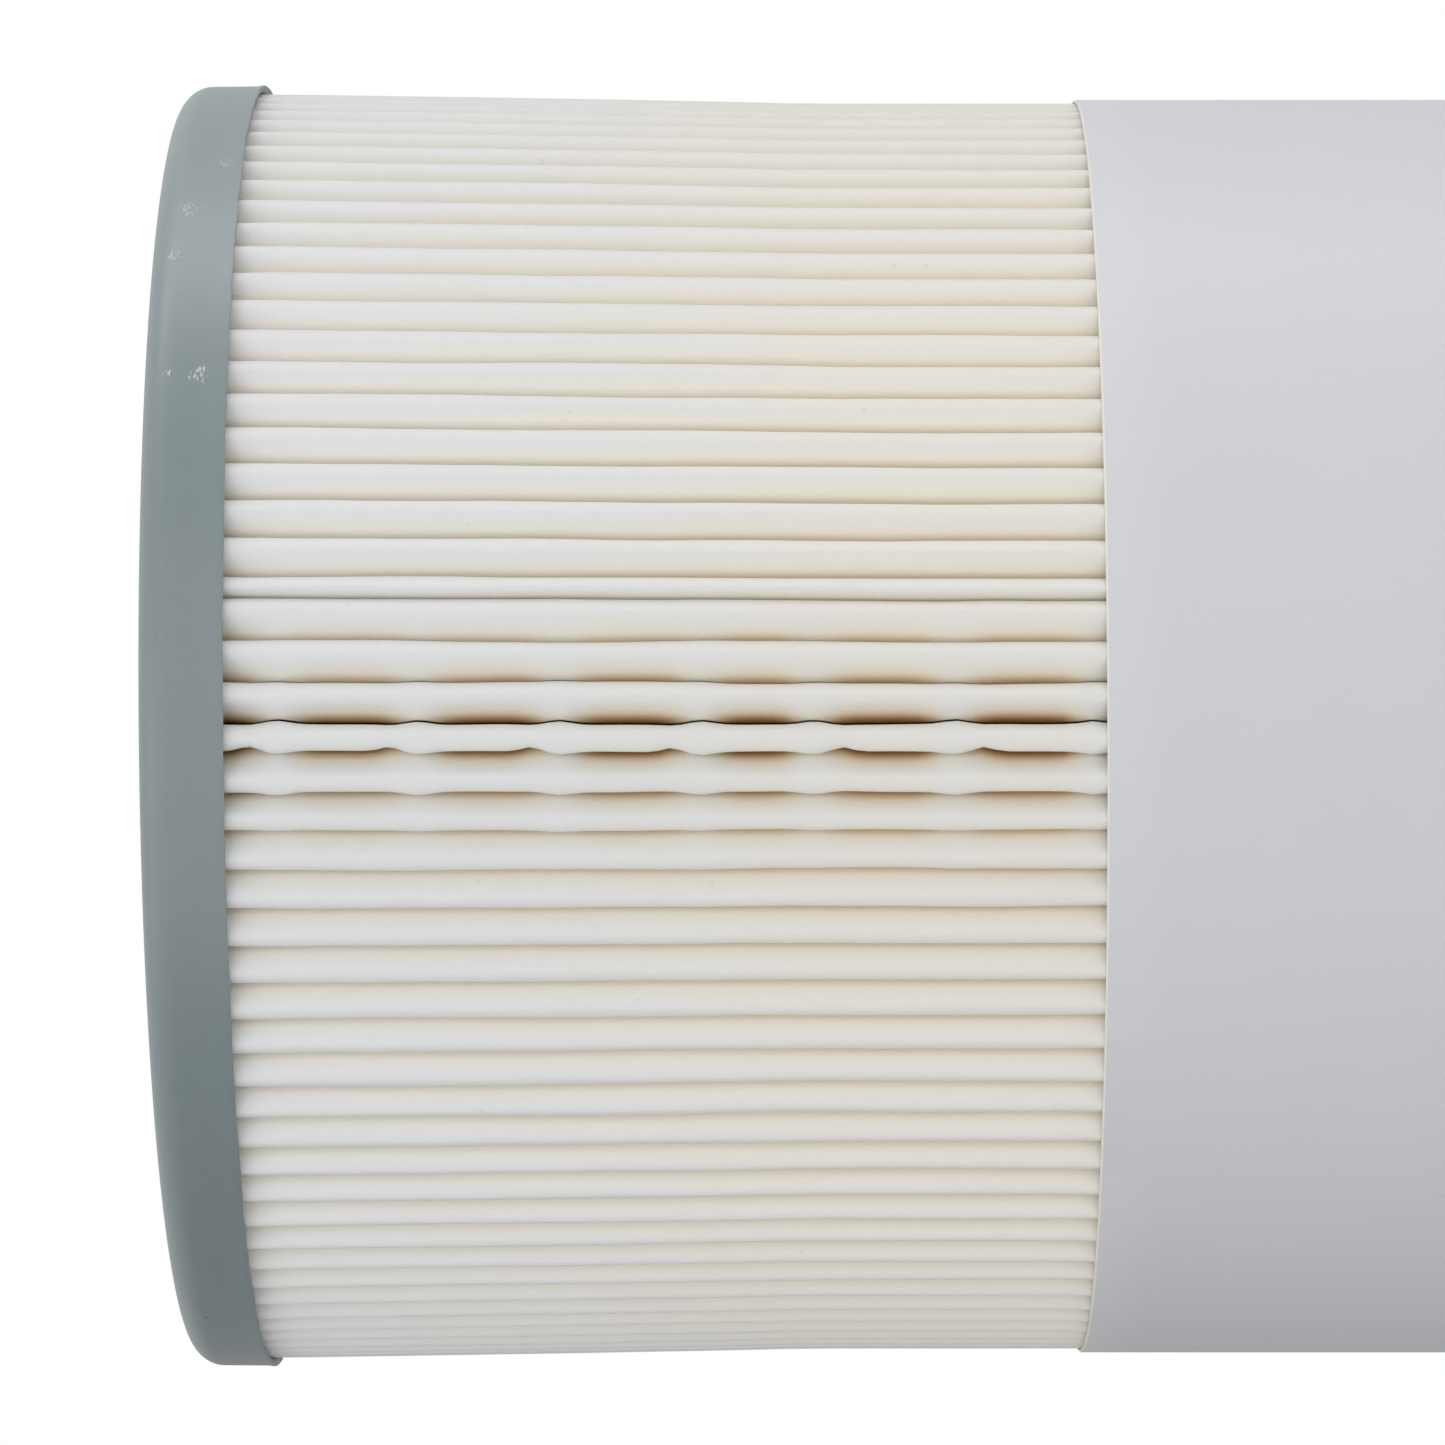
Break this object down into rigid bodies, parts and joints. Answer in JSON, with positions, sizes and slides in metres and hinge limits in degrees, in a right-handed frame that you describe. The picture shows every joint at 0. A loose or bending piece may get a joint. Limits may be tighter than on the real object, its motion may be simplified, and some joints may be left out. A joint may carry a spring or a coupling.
{
  "type": "pleated filter cartridge",
  "caption": "Round pleated pool filter cartridge with cast end caps, an open port at each end, a perforated core tube and a plain card sleeve that slides on the pleats.",
  "frame": {"origin": "middle of the lower end cap's outer face, which the cartridge stands on", "axes": "+Z along the cartridge's axis towards the upper cap; the seam pleat faces -Y and the sleeve's lap faces +Y"},
  "size_m": [0.178, 0.178, 0.498],
  "materials": {
    "cap": "satin",
    "core": "satin",
    "media": "matte",
    "glue": "satin",
    "card": "satin"
  },
  "bodies": {
    "cartridge": {"end_cap_bottom": "cap", "end_cap_top": "cap", "core_segment_1": "core", "core_segment_2": "core", "core_segment_3": "core", "core_segment_4": "core", "pleated_media": "media", "seam_bead": "glue", "seam_glue_dabs": "glue"},
    "sleeve": {"card_sleeve": "card", "sleeve_glue_strip": "glue"}
  },
  "joints": [
    {"name": "sleeve_slide", "type": "slide", "parent": "cartridge", "child": "sleeve", "axis": [0, 0, 1], "range_m": [-0.04, 0.04]}
  ]
}
